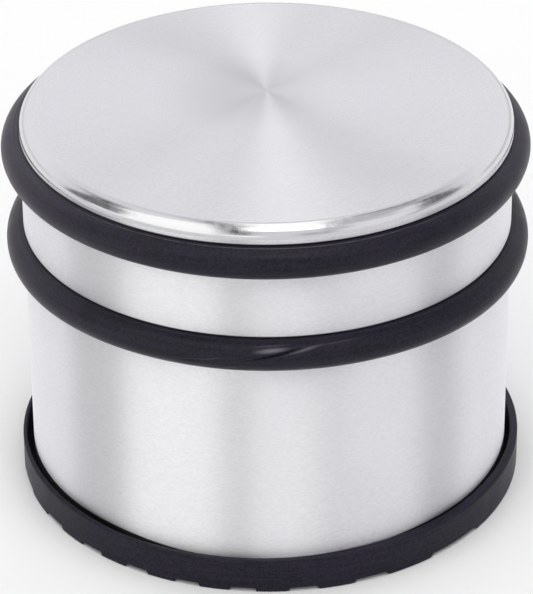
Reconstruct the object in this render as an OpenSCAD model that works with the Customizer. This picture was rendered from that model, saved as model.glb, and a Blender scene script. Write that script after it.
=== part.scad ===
// Weighted floor door stop: a brushed steel shell with two rubber bumper rings,
// standing in a rubber foot, with iron ballast held inside by one long stud.
// Millimetres. The origin is on the floor, on the axis of the door stop. +Z is up.

/* [Steel shell] */
// Outside diameter of the shell
shell_d = 80; // [76:1:90]
// Height of the whole door stop
stop_h = 66; // [64:1:80]
// Thickness of the drawn sheet
sheet_t = 0.8; // [0.6:0.1:1]
// Radius of the rounded edge of the crown
crown_r = 2; // [1.5:0.25:2.5]
// Radius at which the sheet rolls into a ring groove
lip_r = 0.15; // [0.1:0.05:0.3]

/* [Bumper rings] */
// Thickness of the rubber cord
cord_d = 5.5; // [4.5:0.5:6]
// Distance from the crown down to the middle of the upper ring
upper_ring_drop = 5.7; // [5.4:0.1:8]
// Distance between the middles of the two rings
ring_spacing = 16.4; // [12:0.1:18]

/* [Rubber foot] */
// How far the foot stands out past the shell
foot_lip = 2; // [1.2:0.1:3]
// Height of the foot's rim above the floor
foot_h = 6; // [5:0.1:8]
// Thickness of the sole, tread included
sole_t = 2.6; // [2:0.1:3]
// Depth of the tread grooves
tread_depth = 0.6; // [0.4:0.1:1]
// Distance from one tread rib to the next
rib_pitch = 9.1; // [7:0.1:12]
// Width of a tread rib
rib_w = 5; // [3:0.1:6]
// Sideways shift of the tread from the centre
rib_shift = -2.4; // [-4:0.1:4]
// Turn of the tread about the upright axis
tread_turn = -22; // [-90:1:90]

/* [Ballast] */
// Thickness of the board sleeve round the ballast
sleeve_t = 3.5; // [3.2:0.1:8]
// Thickness of one ballast disc
ballast_disc_t = 12; // [11:0.5:12]

/* [Base and stud] */
// Thickness of the steel base plate
plate_t = 1.5; // [1.2:0.1:2]
// Thickness of the adhesive between the base plate and the foot
adhesive_t = 0.5; // [0.3:0.1:1]
// Nominal diameter of the stud and of its nut
stud_d = 6; // [5:1:6]

/* [Hidden] */
$fn = 128;

// Colours
brushed_steel = [0.80, 0.81, 0.82];
black_rubber = [0.13, 0.135, 0.14];
zinc = [0.70, 0.72, 0.74];
grey_iron = [0.33, 0.33, 0.34];
grey_felt = [0.62, 0.62, 0.60];
brown_board = [0.70, 0.58, 0.42];
natural_plastic = [0.90, 0.90, 0.87];
tape_yellow = [0.85, 0.79, 0.55];

// A little more than any gap, for cuts that run past a face
past = 1;
// Free play between pieces that are slipped together
play = 0.1;
// Loose fit of a hole or pocket round a piece
loose = 0.5;

// Shell and rings
shell_r = shell_d / 2;
bore_r = shell_r - sheet_t;
cord_r = cord_d / 2;
groove_r = cord_r + 0.05;
upper_ring_z = stop_h - upper_ring_drop;
lower_ring_z = upper_ring_z - ring_spacing;
ring_heights = [upper_ring_z, lower_ring_z];
// Radius of the free way inside the shell, past the two rolled grooves
throat_r = shell_r - groove_r - sheet_t;

// Foot
foot_r = shell_r + foot_lip;
foot_grip = 0.1;
foot_edge_r = 0.4;
rib_count = 2 * ceil(foot_r / rib_pitch) + 3;

// Ballast
ballast_r = bore_r - 2 * play - sleeve_t;

// Heights, from the floor up
plate_z = sole_t + adhesive_t;
ballast_z = plate_z + plate_t;
spacer_z = ballast_z + 3 * ballast_disc_t;
pad_t = 2;
crown_under_z = stop_h - sheet_t;
pad_z = crown_under_z - pad_t;

// Nut, washers and stud, to the usual sizes for the thread
stud_r = stud_d / 2;
hole_r = stud_r + loose;
nut_h = stud_d == 6 ? 5 : 4;
nut_flats = stud_d == 6 ? 10 : 8;
flat_washer_t = stud_d == 6 ? 1.6 : 1;
flat_washer_r = stud_d == 6 ? 6 : 5;
spring_washer_t = stud_d == 6 ? 1.6 : 1.2;
spring_washer_r = stud_d == 6 ? 5.9 : 4.6;
stud_end = 0.8;
weld_base_r = stud_r + 1;
weld_base_t = 1;

// Pocket pressed up into the base plate, which takes the nut clear of the foot
pocket_r = 9.5;
pocket_h = nut_h + flat_washer_t + spring_washer_t + stud_end + loose;
pocket_roof_z = plate_z + pocket_h;
nut_z = pocket_roof_z - flat_washer_t - spring_washer_t - nut_h;
pocket_draft = 0.5;

// Spacer moulding
spacer_wall = 1.8;
spacer_ribs = 6;

// Cuts the sharp corner off where a groove meets the wall, leaving a round lip
module lip_cut(z, side) {
    lip_z = z + side * sqrt(pow(groove_r + lip_r, 2) - pow(lip_r, 2));
    difference() {
        polygon([
            [shell_r - lip_r, lip_z],
            [shell_r + past, lip_z],
            [shell_r + past, z],
            [shell_r, z]
        ]);
        translate([shell_r - lip_r, lip_z]) circle(lip_r);
    }
}

// Half section of the shell's outside, filled to the axis, or of its inside when inset
module shell_outline(inset) {
    corner = crown_r - inset;
    difference() {
        union() {
            translate([0, sole_t]) square([shell_r - inset, stop_h - crown_r - sole_t]);
            translate([0, sole_t]) square([shell_r - crown_r, stop_h - inset - sole_t]);
            translate([shell_r - crown_r, stop_h - crown_r]) circle(corner);
        }
        for (z = ring_heights) translate([shell_r, z]) circle(groove_r + inset);
    }
}

module outer_shell() {
    color(brushed_steel)
    rotate_extrude()
    difference() {
        shell_outline(0);
        for (z = ring_heights, side = [-1, 1]) lip_cut(z, side);
        shell_outline(sheet_t);
    }
}

module bumper_ring(z) {
    color(black_rubber)
    rotate_extrude() translate([shell_r, z]) circle(cord_r);
}

module upper_bumper_ring() {
    bumper_ring(upper_ring_z);
}

module lower_bumper_ring() {
    bumper_ring(lower_ring_z);
}

// Cup that grips the foot of the shell, with straight ribs moulded across its sole
module rubber_foot() {
    color(black_rubber) {
        rotate_extrude()
        difference() {
            union() {
                translate([0, tread_depth]) square([foot_r, foot_h - tread_depth - foot_edge_r]);
                translate([0, tread_depth]) square([foot_r - foot_edge_r, foot_h - tread_depth]);
                translate([foot_r - foot_edge_r, foot_h - foot_edge_r]) circle(foot_edge_r);
            }
            translate([0, sole_t]) square([shell_r + foot_grip, foot_h]);
        }
        tread_ribs();
    }
}

module tread_ribs() {
    intersection() {
        cylinder(h = tread_depth, r = foot_r);
        rotate([0, 0, tread_turn])
        for (i = [0 : rib_count - 1])
            translate([rib_shift + (i - (rib_count - 1) / 2) * rib_pitch - rib_w / 2, -foot_r - past, 0])
                cube([rib_w, 2 * (foot_r + past), tread_depth]);
    }
}

// Felt disc that keeps the spacer from drumming on the crown
module crown_pad() {
    color(grey_felt)
    translate([0, 0, pad_z])
    difference() {
        cylinder(h = pad_t, r = throat_r - loose);
        translate([0, 0, -past]) cylinder(h = pad_t + 2 * past, r = weld_base_r + loose);
    }
}

// Ribbed plastic moulding that fills the height above the ballast
module crown_spacer() {
    spacer_h = pad_z - spacer_z;
    spacer_r = throat_r - loose;
    boss_r = hole_r + spacer_wall;
    color(natural_plastic)
    translate([0, 0, spacer_z])
    difference() {
        union() {
            difference() {
                cylinder(h = spacer_h, r = spacer_r);
                translate([0, 0, -past]) cylinder(h = spacer_h + past - spacer_wall, r = spacer_r - spacer_wall);
            }
            cylinder(h = spacer_h, r = boss_r);
            for (i = [0 : spacer_ribs - 1])
                rotate([0, 0, i * 360 / spacer_ribs])
                translate([0, -spacer_wall / 2, 0])
                    cube([spacer_r - spacer_wall / 2, spacer_wall, spacer_h]);
        }
        translate([0, 0, -past]) cylinder(h = spacer_h + 2 * past, r = hole_r);
    }
}

// Threaded stud, welded by its base to the underside of the crown
module centre_stud() {
    stud_foot_z = nut_z - stud_end;
    tip = 0.6;
    color(zinc) {
        translate([0, 0, stud_foot_z]) cylinder(h = tip, r1 = stud_r - tip, r2 = stud_r);
        translate([0, 0, stud_foot_z + tip]) cylinder(h = crown_under_z - stud_foot_z - tip, r = stud_r);
        translate([0, 0, crown_under_z - weld_base_t]) cylinder(h = weld_base_t, r = weld_base_r);
    }
}

// One ballast disc; the lowest is bored out to clear the pocket of the base plate
module ballast_disc(level) {
    disc_z = ballast_z + (level - 1) * ballast_disc_t;
    edge = 1;
    color(grey_iron)
    translate([0, 0, disc_z])
    difference() {
        rotate_extrude()
        polygon([
            [0, 0],
            [ballast_r - edge, 0],
            [ballast_r, edge],
            [ballast_r, ballast_disc_t - edge],
            [ballast_r - edge, ballast_disc_t],
            [0, ballast_disc_t]
        ]);
        translate([0, 0, -past]) cylinder(h = ballast_disc_t + 2 * past, r = hole_r);
        if (level == 1)
            translate([0, 0, -past])
                cylinder(h = pocket_roof_z + plate_t - ballast_z + past, r = pocket_r + plate_t + loose);
    }
}

module ballast_disc_1() {
    ballast_disc(1);
}

module ballast_disc_2() {
    ballast_disc(2);
}

module ballast_disc_3() {
    ballast_disc(3);
}

// Wrap of corrugated board that centres the ballast in the shell, below the lower groove
module board_sleeve() {
    sleeve_h = min(3 * ballast_disc_t, lower_ring_z - groove_r - sheet_t - ballast_z) - loose;
    color(brown_board)
    translate([0, 0, ballast_z])
    difference() {
        cylinder(h = sleeve_h, r = bore_r - play);
        translate([0, 0, -past]) cylinder(h = sleeve_h + 2 * past, r = ballast_r + play);
    }
}

// Pressed disc that closes the shell, with a raised pocket for the nut
module base_plate() {
    roof_z = pocket_roof_z;
    color(zinc)
    difference() {
        rotate_extrude()
        polygon([
            [0, roof_z],
            [pocket_r - pocket_draft, roof_z],
            [pocket_r, plate_z],
            [bore_r - play, plate_z],
            [bore_r - play, plate_z + plate_t],
            [pocket_r + plate_t, plate_z + plate_t],
            [pocket_r + plate_t - pocket_draft, roof_z + plate_t],
            [0, roof_z + plate_t]
        ]);
        translate([0, 0, roof_z - past]) cylinder(h = plate_t + 2 * past, r = hole_r);
    }
}

module flat_washer() {
    color(zinc)
    translate([0, 0, pocket_roof_z - flat_washer_t])
    difference() {
        cylinder(h = flat_washer_t, r = flat_washer_r);
        translate([0, 0, -past]) cylinder(h = flat_washer_t + 2 * past, r = stud_r + 0.2);
    }
}

// Split lock washer, squeezed flat by the nut
module spring_washer() {
    split = 12;
    color(zinc)
    translate([0, 0, nut_z + nut_h])
    rotate([0, 0, split / 2])
    rotate_extrude(angle = 360 - split)
    translate([stud_r + play, 0])
        square([spring_washer_r - stud_r - play, spring_washer_t]);
}

module hex_nut() {
    corner_r = nut_flats / 2 / cos(30);
    chamfer = corner_r - nut_flats / 2;
    slope = chamfer * tan(30);
    color(zinc)
    translate([0, 0, nut_z])
    difference() {
        intersection() {
            cylinder(h = nut_h, r = corner_r, $fn = 6);
            rotate_extrude()
            polygon([
                [0, 0],
                [nut_flats / 2, 0],
                [corner_r, slope],
                [corner_r, nut_h - slope],
                [nut_flats / 2, nut_h],
                [0, nut_h]
            ]);
        }
        translate([0, 0, -past]) cylinder(h = nut_h + 2 * past, r = stud_r);
    }
}

// Double-sided foam tape that bonds the foot to the base plate
module foot_adhesive() {
    color(tape_yellow)
    translate([0, 0, sole_t])
    difference() {
        cylinder(h = adhesive_t, r = bore_r - loose);
        translate([0, 0, -past]) cylinder(h = adhesive_t + 2 * past, r = pocket_r + loose);
    }
}

outer_shell();
upper_bumper_ring();
lower_bumper_ring();
rubber_foot();
crown_pad();
crown_spacer();
centre_stud();
ballast_disc_1();
ballast_disc_2();
ballast_disc_3();
board_sleeve();
base_plate();
flat_washer();
spring_washer();
hex_nut();
foot_adhesive();
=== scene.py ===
"""Looks of the weighted door stop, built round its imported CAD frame. Metres, +Z up, front towards -Y."""
import math

import bmesh
import bpy
from mathutils import Matrix, Vector


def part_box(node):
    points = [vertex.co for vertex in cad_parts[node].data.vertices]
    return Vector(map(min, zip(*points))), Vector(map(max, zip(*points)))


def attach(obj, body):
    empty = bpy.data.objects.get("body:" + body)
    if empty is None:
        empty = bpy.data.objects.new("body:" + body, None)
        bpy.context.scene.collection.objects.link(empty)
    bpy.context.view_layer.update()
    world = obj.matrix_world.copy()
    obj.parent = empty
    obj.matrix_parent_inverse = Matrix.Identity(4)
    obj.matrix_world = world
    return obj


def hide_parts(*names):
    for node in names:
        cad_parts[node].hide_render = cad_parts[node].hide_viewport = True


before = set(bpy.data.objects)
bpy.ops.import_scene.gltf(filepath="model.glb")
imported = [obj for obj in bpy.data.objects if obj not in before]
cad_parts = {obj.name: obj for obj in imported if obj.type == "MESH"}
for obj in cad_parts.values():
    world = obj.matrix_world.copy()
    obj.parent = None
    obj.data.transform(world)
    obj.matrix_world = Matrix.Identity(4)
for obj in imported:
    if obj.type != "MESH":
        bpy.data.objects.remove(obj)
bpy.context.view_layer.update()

MM = 0.001

# ---------------------------------------------------------------- sizes, from the frame
shell_low, shell_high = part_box("outer_shell")
foot_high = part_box("rubber_foot")[1]
pad_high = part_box("crown_pad")[1]
TOP = shell_high.z
SHELL_R = round(shell_high.x, 5)
HEM = shell_low.z
SHEET = TOP - pad_high.z
FOOT_R = round(foot_high.x, 5)
FOOT_H = foot_high.z


def ring_place(node):
    """Height of a ring's middle and the radius of its cord."""
    low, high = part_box(node)
    return (low.z + high.z) / 2, (high.z - low.z) / 2


UPPER_Z, CORD_R = ring_place("upper_bumper_ring")
LOWER_Z, CORD_R = ring_place("lower_bumper_ring")

# Details too fine for the frame's boxes
CROWN_R = 2.0 * MM
LIP_R = 0.15 * MM
GROOVE_R = CORD_R + 0.05 * MM
LIP_H = math.sqrt((GROOVE_R + LIP_R) ** 2 - LIP_R**2)
TREAD_DEPTH = 0.6 * MM
RIB_PITCH = 9.1 * MM
RIB_W = 5.0 * MM
RIB_SHIFT = -2.4 * MM
TREAD_TURN = math.radians(-22)
HEM_R = 0.25 * MM        # rounding of the sheet's bottom edge
RIM_R = 0.25 * MM        # rounding of the foot's rim
GRIP = 0.02 * MM         # how far the foot's inside stays clear of the steel
GAP_DEPTH = 2.0 * MM     # depth of the open joint between the foot's rim and the steel
GAP_LEFT = 1.1 * MM      # its width at the left
GAP_RIGHT = 0.85 * MM    # and at the right
RIM_SHIFT = 0.2 * MM     # the soft rim sits this much towards +X
FLASH = 0.06 * MM        # height of the seams on the rings
SUPPORT = 0.03 * MM      # distance of an extra row that keeps shading crisp beside a curve

# The grooves, and the rings in them, lean a little: how much each climbs towards +X
UPPER_LEAN = -0.0036
LOWER_LEAN = -0.0056

# Uneven places round the axis, as (height, middle and width in degrees): where each ring stands out of its
# groove, and how far the foot's rim slopes down to the steel
UPPER_SWELL = ((0.30 * MM, -90, 50),)
LOWER_SWELL = ((0.30 * MM, -58, 22), (0.42 * MM, 55, 26))
RIM_DIP = ((0.65 * MM, -8, 30), (-0.30 * MM, -60, 25), (-0.60 * MM, 60, 22))


# ---------------------------------------------------------------- small maths
def arc(cx, cz, radius, start, end, steps):
    """Points (r, z) on an arc, angles in degrees, ends included."""
    turns = [math.radians(start + (end - start) * i / steps) for i in range(steps + 1)]
    return [(cx + radius * math.cos(t), cz + radius * math.sin(t)) for t in turns]


def smooth_step(value, low, high):
    """0 below low, 1 above high, and a smooth climb between."""
    share = min(max((value - low) / (high - low), 0.0), 1.0)
    return share * share * (3 - 2 * share)


def hump(value, middle, width):
    """A smooth bump of height 1."""
    return math.exp(-(((value - middle) / width) ** 2))


def bearing(x, y):
    """Degrees round the axis, 0 at the front and growing towards +X."""
    return math.degrees(math.atan2(x, -y))


def uneven(way, humps):
    """Height at a bearing of the humps (height, middle, width)."""
    return sum(height * hump(way, middle, width) for height, middle, width in humps)


def lean(z):
    """How much the shell climbs towards +X at a height: none at the foot and crown, most at the grooves."""
    stops = [(FOOT_H, 0.0), (LOWER_Z, LOWER_LEAN), (UPPER_Z, UPPER_LEAN), (TOP - CROWN_R, 0.0)]
    if z <= stops[0][0] or z >= stops[-1][0]:
        return 0.0
    for (z0, lean0), (z1, lean1) in zip(stops, stops[1:]):
        if z <= z1:
            return lean0 + (lean1 - lean0) * smooth_step(z, z0, z1)


# ---------------------------------------------------------------- mesh helpers
def mesh_object(name, verts, faces, slots=None):
    """A smooth mesh whose faces all point outwards."""
    mesh = bpy.data.meshes.new(name)
    mesh.from_pydata(verts, [], faces)
    if slots:
        mesh.polygons.foreach_set("material_index", slots)
    mesh.polygons.foreach_set("use_smooth", [True] * len(mesh.polygons))
    skin = bmesh.new()
    skin.from_mesh(mesh)
    bmesh.ops.recalc_face_normals(skin, faces=skin.faces)
    skin.to_mesh(mesh)
    skin.free()
    piece = bpy.data.objects.new(name, mesh)
    bpy.context.scene.collection.objects.link(piece)
    return piece


def lathe(name, profile, segments, closed=False, row_slots=None, shape=None):
    """Turns a profile of (r, z) points about the Z axis.
    closed joins the last point to the first; otherwise both ends are on the axis.
    row_slots has, for each point, the material index of the faces that lead to it from the point before.
    shape(x, y, z) moves a vertex."""
    verts, faces, slots, rows = [], [], [], []
    for r, z in profile:
        count = segments if r > 0 else 1
        rows.append(range(len(verts), len(verts) + count))
        turns = [2 * math.pi * i / segments for i in range(count)]
        verts += [(r * math.cos(t), r * math.sin(t), z) for t in turns]
    pairs = list(zip(range(len(profile)), range(1, len(profile))))
    if closed:
        pairs.append((len(profile) - 1, 0))
    for a, b in pairs:
        made = bridge(rows[a], rows[b])
        faces += made
        slots += [row_slots[b] if row_slots else 0] * len(made)
    if shape:
        verts = [shape(*v) for v in verts]
    return mesh_object(name, verts, faces, slots)


def bridge(row, other):
    """Faces between two closed rows of vertices, either of which may be a single point."""
    count = max(len(row), len(other))
    faces = []
    for i in range(count):
        j = (i + 1) % count
        if len(row) == 1:
            faces.append((row[0], other[i], other[j]))
        elif len(other) == 1:
            faces.append((row[i], other[0], row[j]))
        else:
            faces.append((row[i], other[i], other[j], row[j]))
    return faces


def place_piece(piece, node, materials):
    """Hangs a finished mesh on the frame in place of its CAD node."""
    for material in materials:
        piece.data.materials.append(material)
    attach(piece, "root")
    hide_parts(node)


# ---------------------------------------------------------------- node helpers
class Nodes:
    """A short way to write a node tree. Values are sockets or plain numbers."""

    def __init__(self, tree):
        self.tree = tree

    def add(self, kind, **settings):
        node = self.tree.nodes.new(kind)
        for key, value in settings.items():
            setattr(node, key, value)
        return node

    def link(self, source, target):
        self.tree.links.new(source, target)

    def feed(self, node, index, value):
        """Links an output to a socket, or sets the socket to a plain value."""
        if isinstance(value, bpy.types.NodeSocket):
            self.link(value, node.inputs[index])
        elif value is not None:
            node.inputs[index].default_value = value

    def math(self, operation, a, b=None, c=None):
        node = self.add("ShaderNodeMath", operation=operation)
        for i, value in enumerate((a, b, c)):
            self.feed(node, i, value)
        return node.outputs[0]

    def vector(self, operation, a, b=None):
        node = self.add("ShaderNodeVectorMath", operation=operation)
        self.feed(node, 0, a)
        self.feed(node, 1, b)
        return node.outputs["Vector"]

    def distance(self, a, b):
        node = self.add("ShaderNodeVectorMath", operation="DISTANCE")
        self.feed(node, 0, a)
        self.feed(node, 1, b)
        return node.outputs["Value"]

    def coordinate(self, kind):
        return self.add("ShaderNodeTexCoord").outputs[kind]

    def sum(self, *values):
        total = values[0]
        for value in values[1:]:
            total = self.math("ADD", total, value)
        return total

    def product(self, *values):
        total = values[0]
        for value in values[1:]:
            total = self.math("MULTIPLY", total, value)
        return total

    def degrees(self, a, b):
        """The angle of the point (b, a), in degrees."""
        return self.math("DEGREES", self.math("ARCTAN2", a, b))

    def within(self, value, middle, half, soft, most=1.0):
        """most where value is within half of middle, fading to 0 over the soft edge."""
        off = self.math("ABSOLUTE", self.math("SUBTRACT", value, middle))
        return self.span(off, half - soft / 2, half + soft / 2, most, 0.0)

    def split(self, vector):
        node = self.add("ShaderNodeSeparateXYZ")
        self.link(vector, node.inputs[0])
        return node.outputs

    def join(self, x, y, z):
        node = self.add("ShaderNodeCombineXYZ")
        for i, value in enumerate((x, y, z)):
            self.feed(node, i, value)
        return node.outputs[0]

    def noise(self, vector, scale, detail=2.0, roughness=0.5):
        node = self.add("ShaderNodeTexNoise")
        self.link(vector, node.inputs["Vector"])
        node.inputs["Scale"].default_value = scale
        node.inputs["Detail"].default_value = detail
        node.inputs["Roughness"].default_value = roughness
        return node.outputs["Fac"]

    def span(self, value, low, high, to_low, to_high, way="SMOOTHSTEP"):
        """Maps value from one range to another, held at the ends."""
        node = self.add("ShaderNodeMapRange", interpolation_type=way)
        for i, v in enumerate((value, low, high, to_low, to_high)):
            self.feed(node, i, v)
        return node.outputs[0]

    def mix(self, share, a, b):
        """Blends two colours."""
        node = self.add("ShaderNodeMix", data_type="RGBA")
        self.feed(node, 0, share)
        self.feed(node, 6, a)
        self.feed(node, 7, b)
        return node.outputs[2]

    def bump(self, height, distance):
        node = self.add("ShaderNodeBump")
        node.inputs["Distance"].default_value = distance
        self.link(height, node.inputs["Height"])
        return node.outputs[0]


class Finish(Nodes):
    """A material with one Principled shader."""

    def __init__(self, name):
        self.material = bpy.data.materials.new(name)
        self.material.use_nodes = True
        super().__init__(self.material.node_tree)
        self.tree.nodes.clear()
        self.shader = self.add("ShaderNodeBsdfPrincipled")
        out = self.add("ShaderNodeOutputMaterial")
        self.link(self.shader.outputs[0], out.inputs["Surface"])
        self.place = self.coordinate("Object")

    def set(self, **values):
        """Sets or links the shader's sockets, named with _ for a space."""
        for key, value in values.items():
            self.feed(self.shader, key.replace("_", " "), value)
        return self.material


def grey(level, blue=0.0):
    """A linear grey, a little towards blue."""
    return (level * (1 - blue), level * (1 - blue), level * (1 + blue), 1.0)


# ---------------------------------------------------------------- materials
# Colour of the pale seam lines and of the sheen and highlights painted on the rings
PALE_RUBBER = (0.135, 0.125, 0.150, 1.0)
# Where the mould's halves met, in degrees round the cord
FLASH_TOP = 74
FLASH_FOOT = -80
# Painted highlights beside the folds of the lower ring, as pale patches: (bearing, around), slope, half
# lengths and strength
FOLD_HIGHLIGHTS = (
    ((0.6, 39), 1.4, (4.8, 12), 1.0),
    ((7.5, 37), 3.3, (5.5, 9), 0.65),
    ((0.6, 55), 0.8, (5.5, 4), 0.35),
    ((15.0, 52), 0.8, (7.0, 3), 0.25),
    ((-12.0, 2), 3.0, (5.0, 3), 0.25),
)

# The crown was turned about a point a little behind its middle
BRUSH_CENTRE = (0.1 * MM, 5.6 * MM, 0.0)
# The crown is a little darker round this point, which is counted from the turning centre
DARKER_SPOT = (-4.5 * MM, -0.3 * MM, TOP)
STEEL_BLUE = 0.012
# Grey of the shade painted into the joints beside the foot's rim and the rings
JOINT_SHADE_GREY = 0.02


def painted_joint_shade(n, x, z):
    """Painted shade on the wall: behind the foot's rim, where it shows at the sides, and along both grooves.
    """
    side = n.math("DIVIDE", n.math("ABSOLUTE", x), SHELL_R)
    # The painted shade ends well below the rim's top at the front and just below it at the sides
    rim = n.span(side, 0.25, 0.65, FOOT_H - 0.9 * MM, FOOT_H - 0.15 * MM)
    painted_shade = n.span(n.math("SUBTRACT", z, rim), -0.1 * MM, 0.1 * MM, 0.97, 0.0)
    for ring_z, tilt in ((UPPER_Z, UPPER_LEAN), (LOWER_Z, LOWER_LEAN)):
        up = n.math("ABSOLUTE", n.math("SUBTRACT", n.math("SUBTRACT", z, ring_z), n.product(x, tilt)))
        # A painted shadow line along each groove's lip, where the ring meets the steel
        lip = n.within(up, LIP_H - 0.10 * MM, 0.14 * MM, 0.14 * MM, 0.9)
        painted_shade = n.math("MAXIMUM", painted_shade, lip)
    return painted_shade


def brushed(name, on_crown, level, roughness, anisotropic):
    """Brushed stainless steel, with circles on the crown or hoops round the wall.
    The tangent points across the brushing, because that is the way its highlights spread."""
    n = Finish(name)
    place = n.vector("SUBTRACT", n.place, BRUSH_CENTRE if on_crown else (0.0, 0.0, 0.0))
    x, y, z = n.split(place)
    radius = n.math("SQRT", n.sum(n.product(x, x), n.product(y, y)))
    way_x, way_y = n.math("DIVIDE", x, radius), n.math("DIVIDE", y, radius)
    across = radius if on_crown else z

    def lines(pitch, turns):
        """Noise drawn out along the brushing, with about so many marks to a radian."""
        point = n.join(n.product(way_x, turns), n.product(way_y, turns), n.math("DIVIDE", across, pitch))
        return n.noise(point, 1.0, detail=3.0, roughness=0.6)

    fine = lines(0.12 * MM, 26.0)
    mottle = lines(0.34 * MM, 62.0)
    cloud = n.noise(n.place, 55.0, detail=3.0)
    shade = n.sum(n.product(fine, 0.4), n.product(mottle, 0.6))
    dark, bright = grey(level * 0.955, STEEL_BLUE), grey(level * 1.045, STEEL_BLUE)
    rough = n.sum(
        n.span(fine, 0.25, 0.75, roughness - 0.03, roughness + 0.03),
        n.span(cloud, 0.3, 0.7, -0.02, 0.02),
    )
    tone = n.mix(n.span(shade, 0.35, 0.65, 0.0, 1.0), dark, bright)
    if on_crown:
        # The crown's tone darkens round this spot
        darkening = n.span(n.distance(place, DARKER_SPOT), 1 * MM, 16 * MM, 0.85, 0.0)
        tone = n.mix(darkening, tone, grey(level * 0.82, STEEL_BLUE))
    else:
        # Painted shade: the wall darkens in the joint behind the foot's rim and along the grooves' lips
        tone = n.mix(painted_joint_shade(n, x, z), tone, grey(JOINT_SHADE_GREY))
    return n.set(
        Base_Color=tone,
        Metallic=1.0,
        Roughness=rough,
        Anisotropic=anisotropic,
        Tangent=n.join(way_x, way_y, 0.0) if on_crown else n.join(0.0, 0.0, 1.0),
        Normal=n.bump(fine, 0.001 * MM),
    )


def polished(name, level, roughness):
    """The rounded edge of the crown, smoother than the faces it joins, with a painted highlight that makes
    it paler at the two sides.
    """
    n = Finish(name)
    haze = n.noise(n.place, 900.0, detail=3.0)
    x = n.split(n.place)[0]
    tone = n.mix(haze, grey(level * 0.96, STEEL_BLUE), grey(level * 1.03, STEEL_BLUE))
    # Painted highlight: the base colour grows paler towards the left and right sides
    side = n.span(n.math("ABSOLUTE", x), 0.68 * SHELL_R, 0.90 * SHELL_R, 0.0, 1.0)
    return n.set(
        Base_Color=n.mix(side, tone, grey(level * 1.17, STEEL_BLUE)),
        Metallic=1.0,
        Roughness=n.span(haze, 0.3, 0.7, roughness - 0.04, roughness + 0.04),
    )


def black(level):
    """The violet black of the rubber."""
    return (level * 0.87, level * 0.68, level * 1.6, 1.0)


def rubber(name, level, roughness, grain, marks=None):
    """Moulded black rubber: a matt skin with a fine grain and paler, dusty patches.
    marks(n) gives a mask of places painted pale: seam lines, painted sheen and painted highlights."""
    n = Finish(name)
    dust = n.noise(n.place, 140.0, detail=5.0, roughness=0.65)
    skin = n.noise(n.place, 2600.0, detail=3.0, roughness=0.6)
    pits = n.noise(n.place, 620.0, detail=2.0)
    streaks = n.noise(n.vector("MULTIPLY", n.place, (70.0, 70.0, 1900.0)), 1.0, detail=4.0, roughness=0.6)
    speckle = n.sum(n.product(dust, 0.15), n.product(skin, 0.55), n.product(streaks, 0.30))
    tone = n.mix(n.span(speckle, 0.38, 0.62, 0.0, 1.0), black(level * 0.3), black(level * 1.9))
    if marks:
        # Pale seam lines, painted sheen and painted highlights where marks says
        tone = n.mix(marks(n), tone, PALE_RUBBER)
    return n.set(
        Base_Color=tone,
        Roughness=n.span(dust, 0.3, 0.7, roughness - 0.05, roughness + 0.06),
        Specular_IOR_Level=0.2,
        Sheen_Weight=0.06,
        Sheen_Roughness=0.3,
        Normal=n.bump(n.sum(n.product(skin, 0.6), n.product(pits, 0.4)), grain),
    )


def on_ring(n, z, tilt):
    """Bearing, and degrees round the cord, of a point on a ring: 0 outwards and 90 at the top."""
    x, y, height = n.split(n.place)
    radius = n.math("SQRT", n.sum(n.product(x, x), n.product(y, y)))
    up = n.math("SUBTRACT", n.math("SUBTRACT", height, z), n.product(x, tilt))
    return n.degrees(x, n.product(y, -1.0)), n.degrees(up, n.math("SUBTRACT", radius, SHELL_R))


def seam_mark(n, around, at):
    """Pale line along the flash of the mould."""
    return n.product(n.within(around, at, 1.6, 2.0), n.span(n.noise(n.place, 260.0), 0.35, 0.6, 0.15, 0.5))


def painted_side_sheen(n, way, left, right):
    """Painted sheen on the two sides of a ring, more on the left."""
    return n.sum(n.within(way, -96.0, 50.0, 60.0, left), n.within(way, 96.0, 40.0, 50.0, right))


def upper_marks(n):
    way, around = on_ring(n, UPPER_Z, UPPER_LEAN)
    seam = n.product(seam_mark(n, around, FLASH_TOP), n.within(way, -3.0, 42.0, 20.0))
    # The pale seam line, and painted sheen on the ring's sides
    return n.sum(seam, painted_side_sheen(n, way, 0.20, 0.11))


def painted_fold_highlight(n, way, around, at, slope, size, strength):
    """A painted highlight: a long pale patch round the point at = (bearing, around), on a line that climbs
    by slope.
    """
    along = n.math("SUBTRACT", way, at[0])
    off = n.math("SUBTRACT", n.math("SUBTRACT", around, at[1]), n.product(along, slope))
    along, off = n.math("DIVIDE", along, size[0]), n.math("DIVIDE", off, size[1])
    reach = n.math("SQRT", n.sum(n.product(along, along), n.product(off, off)))
    return n.span(reach, 0.0, 1.0, strength, 0.0)


def lower_marks(n):
    way, around = on_ring(n, LOWER_Z, LOWER_LEAN)
    # Painted sheen on the ring's sides and painted highlights beside its folds
    return n.sum(painted_side_sheen(n, way, 0.14, 0.04), *(painted_fold_highlight(n, way, around, *mark) for mark in FOLD_HIGHLIGHTS))


def plain(name, low, high, scale, roughness, metallic=0.0, grain=0.02 * MM, stretch=(1.0, 1.0, 1.0)):
    """A finish for the pieces inside: two tones, a grain and its bump."""
    n = Finish(name)
    speckle = n.noise(n.vector("MULTIPLY", n.place, stretch), scale, detail=4.0, roughness=0.6)
    return n.set(
        Base_Color=n.mix(n.span(speckle, 0.3, 0.7, 0.0, 1.0), (*low, 1.0), (*high, 1.0)),
        Metallic=metallic,
        Roughness=n.span(speckle, 0.3, 0.7, roughness + 0.06, roughness - 0.06),
        Normal=n.bump(speckle, grain),
    )


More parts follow.
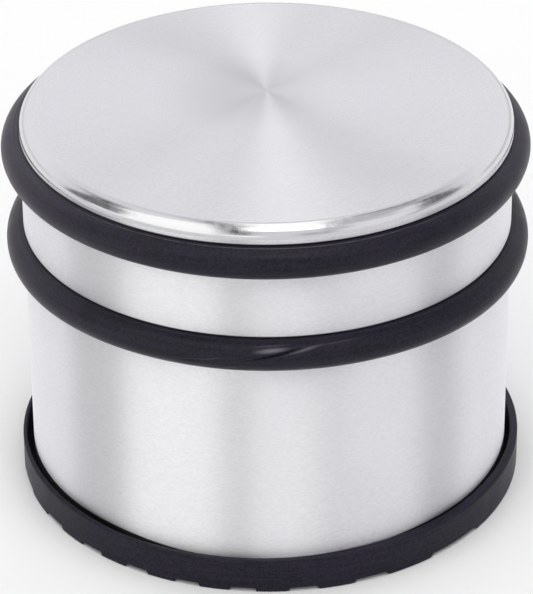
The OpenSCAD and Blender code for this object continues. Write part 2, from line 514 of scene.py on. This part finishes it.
crown_steel = brushed("crown_steel", on_crown=True, level=0.71, roughness=0.31, anisotropic=0.87)
wall_steel = brushed("wall_steel", on_crown=False, level=0.89, roughness=0.44, anisotropic=1.0)
edge_steel = polished("edge_steel", level=0.60, roughness=0.16)
inner_steel = plain("inner_steel", (0.40, 0.41, 0.42), (0.52, 0.53, 0.54), 400.0, 0.45, metallic=1.0)
upper_rubber = rubber("upper_rubber", level=0.008, roughness=0.42, grain=0.016 * MM, marks=upper_marks)
lower_rubber = rubber("lower_rubber", level=0.008, roughness=0.42, grain=0.016 * MM, marks=lower_marks)
foot_rubber = rubber("foot_rubber", level=0.009, roughness=0.50, grain=0.030 * MM)
felt = plain("felt", (0.30, 0.30, 0.29), (0.46, 0.46, 0.44), 1800.0, 0.95, grain=0.1 * MM)
plastic = plain("plastic", (0.70, 0.69, 0.64), (0.76, 0.75, 0.70), 300.0, 0.45)
zinc = plain("zinc", (0.55, 0.57, 0.59), (0.70, 0.72, 0.74), 700.0, 0.35, metallic=1.0)
iron = plain("iron", (0.09, 0.09, 0.092), (0.17, 0.165, 0.16), 500.0, 0.7, metallic=0.6, grain=0.08 * MM)
board = plain("board", (0.42, 0.30, 0.18), (0.56, 0.42, 0.27), 500.0, 0.9, stretch=(1.0, 1.0, 0.1))
tape = plain("tape", (0.74, 0.72, 0.64), (0.82, 0.80, 0.73), 900.0, 0.7)


# ---------------------------------------------------------------- steel shell
CROWN, WALL, EDGE, INSIDE = range(4)


def groove(z):
    """Outside profile down past one ring groove: round lip, half-round groove, round lip."""
    turn = math.degrees(math.atan2(LIP_H, LIP_R))
    upper_lip = arc(SHELL_R - LIP_R, z + LIP_H, LIP_R, 0, -turn, 6)
    hollow = arc(SHELL_R, z, GROOVE_R, 180 - turn, 180 + turn, 28)
    lower_lip = arc(SHELL_R - LIP_R, z - LIP_H, LIP_R, turn, 0, 6)
    return upper_lip + hollow + lower_lip


def inner_groove(z):
    """Inside profile up past one groove."""
    reach = GROOVE_R + SHEET
    turn = math.degrees(math.acos(SHEET / reach))
    return arc(SHELL_R, z, reach, 180 + turn, 180 - turn, 24)


def wall_run(z_from, z_to, steps):
    return [(SHELL_R, z_from + (z_to - z_from) * i / steps) for i in range(steps + 1)]


def shell_parts():
    """The shell's half section as (slot, points) runs, from the middle of the crown round to the inside."""
    corner = SHELL_R - CROWN_R
    crown = [(share * (corner - SUPPORT), TOP) for share in (0, 0.01, 0.03, 0.1, 0.25, 0.5, 0.75, 1)]
    crown.append((corner, TOP))
    edge = arc(corner, TOP - CROWN_R, CROWN_R, 90, 0, 24)
    wall = groove(UPPER_Z)
    wall += wall_run(UPPER_Z - LIP_H - SUPPORT, LOWER_Z + LIP_H + SUPPORT, 6)
    wall += groove(LOWER_Z)
    wall += wall_run(LOWER_Z - LIP_H - SUPPORT, HEM + HEM_R + SUPPORT, 12)
    wall += arc(SHELL_R - HEM_R, HEM + HEM_R, HEM_R, 0, -90, 5)
    inside = arc(SHELL_R - SHEET + HEM_R, HEM + HEM_R, HEM_R, -90, -180, 5)
    inside += inner_groove(LOWER_Z) + inner_groove(UPPER_Z)
    inside += arc(corner, TOP - CROWN_R, CROWN_R - SHEET, 0, 90, 10)
    inside.append((0.0, TOP - SHEET))
    return [(CROWN, crown), (EDGE, edge), (WALL, wall), (INSIDE, inside)]


def shell_skin():
    """The drum, leaning a little at the grooves. A point that repeats the one before is left out."""
    points, slots = [], []
    for slot, run in shell_parts():
        for point in run:
            if not points or math.dist(points[-1], point) > 1e-7:
                points.append(point)
                slots.append(slot)
    piece = lathe(
        "outer_shell_skin", points, 384,
        row_slots=slots,
        shape=lambda x, y, z: (x, y, z + lean(z) * x),
    )
    place_piece(piece, "outer_shell", (crown_steel, wall_steel, edge_steel, inner_steel))


shell_skin()


# ---------------------------------------------------------------- rubber rings
RING_SEGMENTS = 720
# Folds of the lower ring: where each crosses the front, its climb and its reach, all in degrees round the
# cord, then its height, and the bearings at which it starts, is full, begins to fade and ends
FOLDS = (
    (23, 3.3, 30, 0.20 * MM, (-9, -1, 4, 9)),
    (8, 3.6, 20, 0.12 * MM, (1, 5, 9, 14)),
    (38, 2.6, 14, 0.05 * MM, (-22, -16, -8, -3)),
    (-2, 3.3, 12, 0.05 * MM, (-16, -11, -6, -1)),
)


def cord_rows(z):
    """Points round a cord, close together where its skin has folds and seams."""
    rows = []
    for start, end, steps in ((-12, 84, 64), (84, 274, 34), (274, 286, 8), (286, 348, 12)):
        rows += arc(SHELL_R, z, CORD_R, start, end, steps)[:-1]
    return rows


def ring_skin(name, node, z, tilt, swell, relief, material):
    """A moulded cord ring lying in its groove. It stands out by the humps in swell, and
    relief(way, around) raises its skin, where around is 0 outwards and 90 at the top of the cord."""

    def shape(x, y, zz):
        r = math.hypot(x, y)
        way = bearing(x, y)
        around = math.degrees(math.atan2(zz - z, r - SHELL_R))
        rise = relief(way, around)
        out = r + uneven(way, swell) + rise * math.cos(math.radians(around))
        up = zz + rise * math.sin(math.radians(around))
        return x / r * out, y / r * out, up + tilt * x

    piece = lathe(name, cord_rows(z), RING_SEGMENTS, closed=True, shape=shape)
    place_piece(piece, node, (material,))


def flash(around):
    """The thin seams that the two halves of the ring's mould left, just outside the groove's lips."""
    return FLASH * (hump(around, FLASH_TOP, 2.0) + hump(around, FLASH_FOOT, 2.0))


def crease(way, around, start, slope, reach, height, ends):
    """A fold across the cord where the ring is twisted: a narrow groove with a raised slope above it.
    It crosses around = start at bearing 0, climbs by slope for each degree, and dies out past its ends."""
    above = around - (start + slope * way)
    strength = smooth_step(way, ends[0], ends[1]) * (1 - smooth_step(way, ends[2], ends[3]))
    fold = smooth_step(above, -1.5, 1.5) * (1 - smooth_step(above, 1.5, reach))
    return height * strength * (fold - 1.6 * hump(above, -4.0, 3.5))


def upper_relief(way, around):
    return flash(around)


def lower_relief(way, around):
    return flash(around) + sum(crease(way, around, *fold) for fold in FOLDS)


ring_skin(
    "upper_ring_skin", "upper_bumper_ring",
    UPPER_Z, UPPER_LEAN, UPPER_SWELL, upper_relief, upper_rubber,
)
ring_skin(
    "lower_ring_skin", "lower_bumper_ring",
    LOWER_Z, LOWER_LEAN, LOWER_SWELL, lower_relief, lower_rubber,
)


# ---------------------------------------------------------------- rubber foot
def tread_height(u):
    """Height of the sole's underside across the ribs: 0 on a rib, TREAD_DEPTH between two."""
    draft = 0.12 * MM
    off = abs((u - RIB_SHIFT + RIB_PITCH / 2) % RIB_PITCH - RIB_PITCH / 2)
    return TREAD_DEPTH * smooth_step(off, RIB_W / 2 - draft, RIB_W / 2 + draft)


def tread_columns(reach):
    """Places across the ribs, close together at the ribs' sides and where the outline turns."""
    count = 180
    places = [reach * math.sin(math.pi * (i / count - 0.5)) for i in range(1, count)]
    close = [0.04 * MM * k for k in range(-4, 5)]
    rib = RIB_SHIFT - RIB_PITCH * math.ceil(2 * reach / RIB_PITCH)
    while rib < reach + RIB_PITCH:
        places += [rib + side * RIB_W / 2 + step for side in (-1, 1) for step in close]
        rib += RIB_PITCH
    kept = []
    for u in sorted(p for p in places if abs(p) < 0.9995 * reach):
        if not kept or u - kept[-1] > 0.03 * MM:
            kept.append(u)
    return kept


def foot_side(bottom_r):
    """The foot's half section from the rim's bottom edge up, over the land and down to the sole's top.
    Each point is (r, z, share of the tread's height that it takes on)."""
    grip_r = SHELL_R + GRIP
    low = [(r, z, 1.0) for r, z in arc(bottom_r, FOOT_R - bottom_r, FOOT_R - bottom_r, -90, 0, 5)[1:]]
    high = arc(FOOT_R - RIM_R, FOOT_H - RIM_R, RIM_R, 0, 90, 6)
    high += [(FOOT_R - RIM_R - SUPPORT, FOOT_H), (grip_r + RIM_R + SUPPORT, FOOT_H)]
    high += arc(grip_r + RIM_R, FOOT_H - RIM_R, RIM_R, 90, 180, 4)
    high += [(grip_r, FOOT_H - GAP_DEPTH), (grip_r, FOOT_H - GAP_DEPTH - 0.1 * MM)]
    high += [(grip_r, HEM), (grip_r - 1.0 * MM, HEM), (0.5 * grip_r, HEM)]
    wall = [(FOOT_R, 1.0 * MM, 0.5), (FOOT_R, 1.4 * MM, 0.0), (FOOT_R, FOOT_H - 2 * RIM_R, 0.0)]
    return low + wall + [(r, z, 0.0) for r, z in high]


def foot_skin():
    """A cup with straight ribs across its sole. The underside is a grid in line with the ribs, and the
    rest goes round in rows whose vertices follow that grid's edge."""
    bottom_r = FOOT_R - 0.3 * MM
    rows = 36
    verts, faces = [], []
    columns = []
    for u in tread_columns(bottom_r):
        half = math.sqrt(bottom_r**2 - u**2)
        columns.append(range(len(verts), len(verts) + rows + 1))
        verts += [(u, half * (2 * j / rows - 1), tread_height(u)) for j in range(rows + 1)]
    for left, right in zip(columns, columns[1:]):
        faces += [(left[j], left[j + 1], right[j + 1], right[j]) for j in range(rows)]
    tips = []
    for side, column in ((-1, columns[0]), (1, columns[-1])):
        tips.append(len(verts))
        verts.append((side * bottom_r, 0.0, tread_height(side * bottom_r)))
        faces += [(tips[-1], column[j], column[j + 1]) for j in range(rows)]
    loop = [tips[0]] + [c[0] for c in columns] + [tips[1]] + [c[-1] for c in reversed(columns)]
    ways = [(verts[i][0] / bottom_r, verts[i][1] / bottom_r) for i in loop]
    row = loop
    for r, z, share in foot_side(bottom_r):
        new = list(range(len(verts), len(verts) + len(ways)))
        verts += [(r * wx, r * wy, z + share * tread_height(r * wx)) for wx, wy in ways]
        faces += bridge(row, new)
        row = new
    verts.append((0.0, 0.0, HEM))
    faces += bridge(row, [len(verts) - 1])
    turned = [foot_shape(*v) for v in verts]
    place_piece(mesh_object("rubber_foot_skin", turned, faces), "rubber_foot", (foot_rubber,))


def foot_shape(u, v, z):
    """Turns the tread to its bearing, opens the joint beside the steel, and slopes and shifts the rim."""
    x = u * math.cos(TREAD_TURN) - v * math.sin(TREAD_TURN)
    y = u * math.sin(TREAD_TURN) + v * math.cos(TREAD_TURN)
    r = math.hypot(x, y)
    on_rim = r > SHELL_R + 0.5 * MM
    if z > FOOT_H - GAP_DEPTH - SUPPORT and not on_rim:
        apart = 1 + rim_gap(bearing(x, y)) / r
        x, y = x * apart, y * apart
    if z > FOOT_H - 0.5 * GAP_DEPTH:
        inward = 1 - smooth_step(r, SHELL_R, FOOT_R - 0.3 * MM)
        z -= inward * uneven(bearing(x, y), RIM_DIP)
    if on_rim:
        x += RIM_SHIFT
    return x, y, z


def rim_gap(way):
    """How far the soft rim stands away from the steel: not at the front or back, and most on the left."""
    left, right = smooth_step(-way, 8, 42), smooth_step(way, 14, 50)
    return (GAP_LEFT * left + GAP_RIGHT * right) * (1 - smooth_step(abs(way), 110, 165))


foot_skin()


# ---------------------------------------------------------------- finishes of the CAD pieces inside
FINISHES = {
    "crown_pad": felt,
    "crown_spacer": plastic,
    "centre_stud": zinc,
    "ballast_disc_1": iron,
    "ballast_disc_2": iron,
    "ballast_disc_3": iron,
    "board_sleeve": board,
    "base_plate": zinc,
    "flat_washer": zinc,
    "spring_washer": zinc,
    "hex_nut": zinc,
    "foot_adhesive": tape,
}
for node, material in FINISHES.items():
    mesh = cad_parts[node].data
    mesh.materials.clear()
    mesh.materials.append(material)


# ---------------------------------------------------------------- floor, light and camera
def lay_floor():
    n = Finish("floor_white")
    tone = n.noise(n.place, 3.0)
    n.set(Base_Color=n.mix(tone, grey(0.88), grey(0.90)), Roughness=0.9, Specular_IOR_Level=0.1)
    bpy.ops.mesh.primitive_plane_add(size=12.0, location=(0, 0, 0))
    floor = bpy.context.object
    floor.name = "floor"
    floor.data.materials.append(n.material)


# A white studio room. Each lamp or gap is a four-cornered patch: the low and high edge, the left and right
# edge at the low end and at the high end, the softness, all in degrees, and the strength that it adds to the
# room's own light.
ROOM_LIGHT = 1.03
ROOM_TINT = (0.985, 0.977, 1.010, 1.0)
LAMP_TINT = (1.0, 1.0, 0.978, 1.0)
LAMP_FROM = 1.0          # light stronger than this starts to take on the lamps' colour
LAMP_FULL = 1.6          # and has it in full from here
DARKEST = 0.05
# Round the walls: height above the horizon, then bearing from the camera's side, growing towards +X
WALLS = (
    (-9, 22, 32, 66, 34, 71, 5, 0.14),           # right softbox, low
    (22, 54, 40, 73, 44, 98, 5, 0.15),           # right softbox, high
    (-9, 22, 13, 28, 15, 30, 6, -0.32),          # stand of the right softbox
    (22, 50, 27, 38, 28, 38, 6, -0.30),          # its upper end
    (-9, 7, -99, -84, -99, -83, 4, -0.55),       # left doorway, low
    (7, 36, -98, -67, -100, -73, 4, -0.78),      # the dark room beyond it
    (36, 56, -100, -73, -118, -99, 5, -0.76),    # the slanted top of the doorway
    (46, 59, -134, -103, -134, -99, 6, -0.45),   # bare wall above and behind it
    (-9, 7, 60, 86, 62, 88, 4, -0.44),           # right doorway, low
    (7, 34, 69, 93, 76, 101, 4, -0.44),          # right doorway, high
    (14, 34, 72, 94, 77, 100, 6, -0.36),         # the dark room beyond it
    (34, 54, 77, 101, 101, 116, 5, -0.80),       # the slanted top of the doorway
    (48, 60, 106, 165, 106, 165, 6, -0.30),      # bare wall above and behind it
    (-9, 10, 108, 172, 110, 172, 8, -0.30),      # low wall behind, on the right
    (-9, 10, -172, -108, -172, -110, 8, -0.20),  # low wall behind, on the left
    (-9, 13, -18, -3, -18, -3, 5, 0.55),         # paper on the table's edge
)
# Over the top: degrees up from the camera's side and over, then degrees to the side
ROOF = (
    (-9, 7, -84, -62, -83, -62, 3, 0.95),        # left softbox, low and outermost
    (-9, 7, -62, -23, -62, -22, 3, 0.52),        # left softbox, low
    (7, 40, -66, -22, -61, -20, 3, 0.55),        # left softbox, middle
    (40, 95, -60, -20, -37, -12, 3, 0.62),       # left softbox, high
    (95, 120, -37, -12, -18, -8, 6, 0.15),       # its upper end
    (12, 30, -15, -7, -16, -7, 3, -0.72),        # dark gap beside it
    (30, 55, -16, -7, -15, -7, 3, -0.88),        # the same gap, higher up
    (55, 130, -17, -6, -6, -2, 3, -0.66),        # and over the top
    (52, 84, -6, 19, -5, 13, 3, 2.20),           # strip light, near end
    (84, 130, -5, 13, -3, 5, 3, 0.80),           # strip light, far end
    (51, 60, -5, 25, -5, 22, 5, 0.20),           # card over the camera
    (56, 130, 19, 50, 5, 16, 5, -0.28),          # bare ceiling on the right
)


def patch(n, across, along, low, high, left_low, right_low, left_high, right_high, soft, strength):
    """Light of one four-cornered patch of the room."""

    def edge(at_low, at_high):
        return n.span(along, low, high, at_low, at_high, "LINEAR")

    past_left = n.math("SUBTRACT", across, edge(left_low, left_high))
    past_right = n.math("SUBTRACT", edge(right_low, right_high), across)
    wide = n.product(*(n.span(past, -soft / 2, soft / 2, 0.0, 1.0) for past in (past_left, past_right)))
    return n.product(wide, n.within(along, (low + high) / 2, (high - low) / 2, soft), strength)


def light_room():
    world = bpy.data.worlds.new("studio")
    world.use_nodes = True
    n = Nodes(world.node_tree)
    x, y, z = n.split(n.coordinate("Generated"))
    front = n.product(y, -1.0)
    bearings = n.degrees(x, front)
    heights = n.math("DEGREES", n.math("ARCSINE", z))
    sides = n.math("DEGREES", n.math("ARCSINE", x))
    overs = n.degrees(z, front)
    parts = [patch(n, bearings, heights, *window) for window in WALLS]
    parts += [patch(n, sides, overs, *window) for window in ROOF]
    light = n.math("MAXIMUM", n.sum(ROOM_LIGHT, *parts), DARKEST)
    background = n.tree.nodes["Background"]
    lamp = n.span(light, LAMP_FROM, LAMP_FULL, 0.0, 1.0)
    n.link(n.mix(lamp, ROOM_TINT, LAMP_TINT), background.inputs["Color"])
    n.link(light, background.inputs["Strength"])
    bpy.context.scene.world = world
    bpy.context.scene.view_settings.view_transform = "Standard"


# Where the camera stands: metres and radians
CAMERA_DISTANCE = 0.568
CAMERA_ELEVATION = math.radians(30.75)
CAMERA_AIM = Vector((-0.25 * MM, 0, 30.23 * MM))
CAMERA_ROLL = -0.0091
LENS = 206.45


def place_camera():
    data = bpy.data.cameras.new("camera")
    data.lens = LENS
    data.sensor_width = 36.0
    data.clip_start = 0.01
    data.clip_end = 50.0
    camera = bpy.data.objects.new("camera", data)
    bpy.context.scene.collection.objects.link(camera)
    forward = Vector((0, math.cos(CAMERA_ELEVATION), -math.sin(CAMERA_ELEVATION)))
    right = Vector((1, 0, 0))
    up = right.cross(forward)
    rolled_right = right * math.cos(CAMERA_ROLL) + up * math.sin(CAMERA_ROLL)
    rolled_up = up * math.cos(CAMERA_ROLL) - right * math.sin(CAMERA_ROLL)
    turn = Matrix((rolled_right, rolled_up, -forward)).transposed()
    camera.matrix_world = Matrix.Translation(CAMERA_AIM - forward * CAMERA_DISTANCE) @ turn.to_4x4()
    bpy.context.scene.camera = camera


lay_floor()
light_room()
place_camera()
